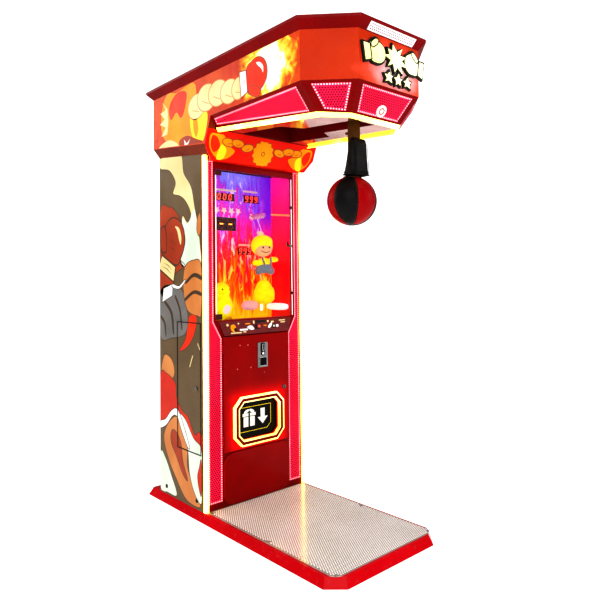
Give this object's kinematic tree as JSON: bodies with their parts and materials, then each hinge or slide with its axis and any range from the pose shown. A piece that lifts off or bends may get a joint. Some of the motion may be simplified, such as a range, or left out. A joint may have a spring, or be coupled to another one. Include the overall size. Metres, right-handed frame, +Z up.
{
  "type": "boxing punch machine",
  "caption": "Tall arcade punching machine: overhanging head with a swinging ball, lit prize window, coin door and prize outlet on a tread plate base.",
  "frame": {"origin": "on the floor under the middle of the bounding box", "axes": "+X to the right of a player who faces the machine, +Y away from the player towards the machine's back, +Z up"},
  "size_m": [0.772, 1.612, 2.28],
  "materials": {
    "red_paint": "gloss",
    "dark_red_paint": "satin",
    "base_red_paint": "gloss",
    "side_art": "satin",
    "head_art": "gloss",
    "shoulder_art": "gloss",
    "pink_mesh": "satin",
    "led_diffuser": "satin",
    "white_lens": "satin",
    "tread_metal": "brushed",
    "bare_steel": "brushed",
    "black_steel": "satin",
    "zinc_steel": "satin",
    "black_leather": "satin",
    "ball_leather": "satin",
    "rubber": "matte",
    "glass": "polished",
    "backdrop_print": "gloss",
    "display_black": "gloss",
    "black_acrylic": "gloss",
    "copper_mirror": "gloss",
    "pocket_red": "satin",
    "control_print": "gloss",
    "button_red": "gloss",
    "chrome": "polished",
    "electronics_green": "matte",
    "fan_black": "matte",
    "plush_yellow": "matte"
  },
  "bodies": {
    "cabinet": {"base_shell": "base_red_paint", "base_feet": "rubber", "tread_plate": "tread_metal", "tread_plate_screws": "bare_steel", "tower_side_left": "side_art", "tower_side_right": "side_art", "tower_back_panel": "black_steel", "power_inlet": "fan_black", "tower_front_frame": "dark_red_paint", "front_mesh_panels": "pink_mesh", "corner_led_strips": "led_diffuser", "control_strip": "control_print", "kick_plate": "red_paint", "prize_chute": "zinc_steel", "backdrop_panel": "backdrop_print", "score_displays": "display_black", "spiral_motors": "fan_black", "prize_plushes": "plush_yellow", "cash_box": "zinc_steel", "electronics": "electronics_green", "head_side_left": "head_art", "head_side_right": "head_art", "head_nose_panels": "head_art", "head_back_panel": "black_steel", "head_canopy": "dark_red_paint", "front_light_panel": "white_lens", "skirt_frame": "dark_red_paint", "skirt_mesh_panels": "pink_mesh", "rim_led_strip": "led_diffuser", "underside_plate": "copper_mirror", "recess_liner": "pocket_red", "shoulder_front_panel": "shoulder_art", "head_beam": "black_steel", "pivot_bearings": "black_steel", "bump_stop": "rubber", "speed_sensor": "fan_black", "latch_solenoid": "zinc_steel"},
    "punch_arm": {"pivot_shaft": "bare_steel", "arm_tube": "black_steel", "arm_pad": "black_leather", "punch_ball": "ball_leather"},
    "latch": {"latch_hook": "zinc_steel"},
    "plunger": {"latch_plunger": "bare_steel"},
    "window_door": {"window_glass": "glass", "window_fittings": "black_steel"},
    "window_door_lock": {"window_lock": "chrome"},
    "lower_door": {"lower_door_panel": "red_paint", "coin_entry_plate": "bare_steel", "prize_outlet_frame": "dark_red_paint", "prize_outlet_led": "led_diffuser"},
    "lower_door_lock": {"lower_door_lock": "chrome"},
    "coin_reject": {"coin_reject_button": "chrome"},
    "coin_return": {"coin_return_flap": "bare_steel"},
    "prize_outlet_flap": {"prize_flap": "black_acrylic"},
    "side_service_door": {"service_door": "side_art"},
    "side_service_lock": {"service_lock": "chrome"},
    "start": {"start_button": "button_red"},
    "fan": {"fan_rotor": "fan_black"},
    "upper_spiral": {"prize_spiral_upper": "chrome"},
    "lower_spiral": {"prize_spiral_lower": "chrome"}
  },
  "joints": [
    {"name": "arm_swing", "type": "hinge", "parent": "cabinet", "child": "punch_arm", "pos_m": [0, -0.545, 1.975], "axis": [1, 0, 0], "range_deg": [0, 88]},
    {"name": "latch_turn", "type": "hinge", "parent": "cabinet", "child": "latch", "pos_m": [0, -0.425, 2.063], "axis": [1, 0, 0], "range_deg": [-18, 0], "stiffness_Nm_per_rad": 0.3, "springref_deg": 5.73},
    {"name": "plunger_slide", "type": "slide", "parent": "cabinet", "child": "plunger", "axis": [0, 1, 0], "range_m": [0, 0.009]},
    {"name": "window_swing", "type": "hinge", "parent": "cabinet", "child": "window_door", "pos_m": [-0.253, 0.219, 1.396], "axis": [0, 0, 1], "range_deg": [-100, 0]},
    {"name": "window_lock_turn", "type": "hinge", "parent": "window_door", "child": "window_door_lock", "pos_m": [0.241, 0.226, 1.402], "axis": [0, 1, 0], "range_deg": [0, 90]},
    {"name": "lower_door_swing", "type": "hinge", "parent": "cabinet", "child": "lower_door", "pos_m": [-0.216, 0.219, 0.619], "axis": [0, 0, 1], "range_deg": [-100, 0]},
    {"name": "lower_lock_turn", "type": "hinge", "parent": "lower_door", "child": "lower_door_lock", "pos_m": [0.173, 0.213, 0.613], "axis": [0, 1, 0], "range_deg": [0, 90]},
    {"name": "coin_reject_press", "type": "slide", "parent": "lower_door", "child": "coin_reject", "axis": [0, 1, 0], "range_m": [0, 0.004], "stiffness_N_per_m": 250, "springref_m": -0.001},
    {"name": "coin_return_swing", "type": "hinge", "parent": "lower_door", "child": "coin_return", "pos_m": [0.029, 0.2115, 0.782], "axis": [1, 0, 0], "range_deg": [0, 70]},
    {"name": "prize_flap_swing", "type": "hinge", "parent": "lower_door", "child": "prize_outlet_flap", "pos_m": [0, 0.235, 0.574], "axis": [1, 0, 0], "range_deg": [0, 65]},
    {"name": "service_door_swing", "type": "hinge", "parent": "cabinet", "child": "side_service_door", "pos_m": [-0.319, 0.498, 0.657], "axis": [0, 0, 1], "range_deg": [-105, 0]},
    {"name": "service_lock_turn", "type": "hinge", "parent": "side_service_door", "child": "side_service_lock", "pos_m": [-0.319, 0.307, 0.656], "axis": [1, 0, 0], "range_deg": [0, 90]},
    {"name": "start_press", "type": "slide", "parent": "cabinet", "child": "start", "axis": [0, 0.9826, -0.1859], "range_m": [0, 0.0025], "stiffness_N_per_m": 300, "springref_m": -0.001},
    {"name": "fan_spin", "type": "hinge", "parent": "cabinet", "child": "fan", "pos_m": [0, 0.694, 1.24], "axis": [0, 1, 0], "continuous": true},
    {"name": "upper_spiral_turn", "type": "hinge", "parent": "cabinet", "child": "upper_spiral", "pos_m": [0.15, 0.478, 1.583], "axis": [0, 1, 0], "continuous": true},
    {"name": "lower_spiral_turn", "type": "hinge", "parent": "cabinet", "child": "lower_spiral", "pos_m": [0.15, 0.478, 1.283], "axis": [0, 1, 0], "continuous": true}
  ],
  "couplings": [
    {"joint": "plunger_slide", "follows": "latch_turn", "m_per_rad": -0.027}
  ]
}
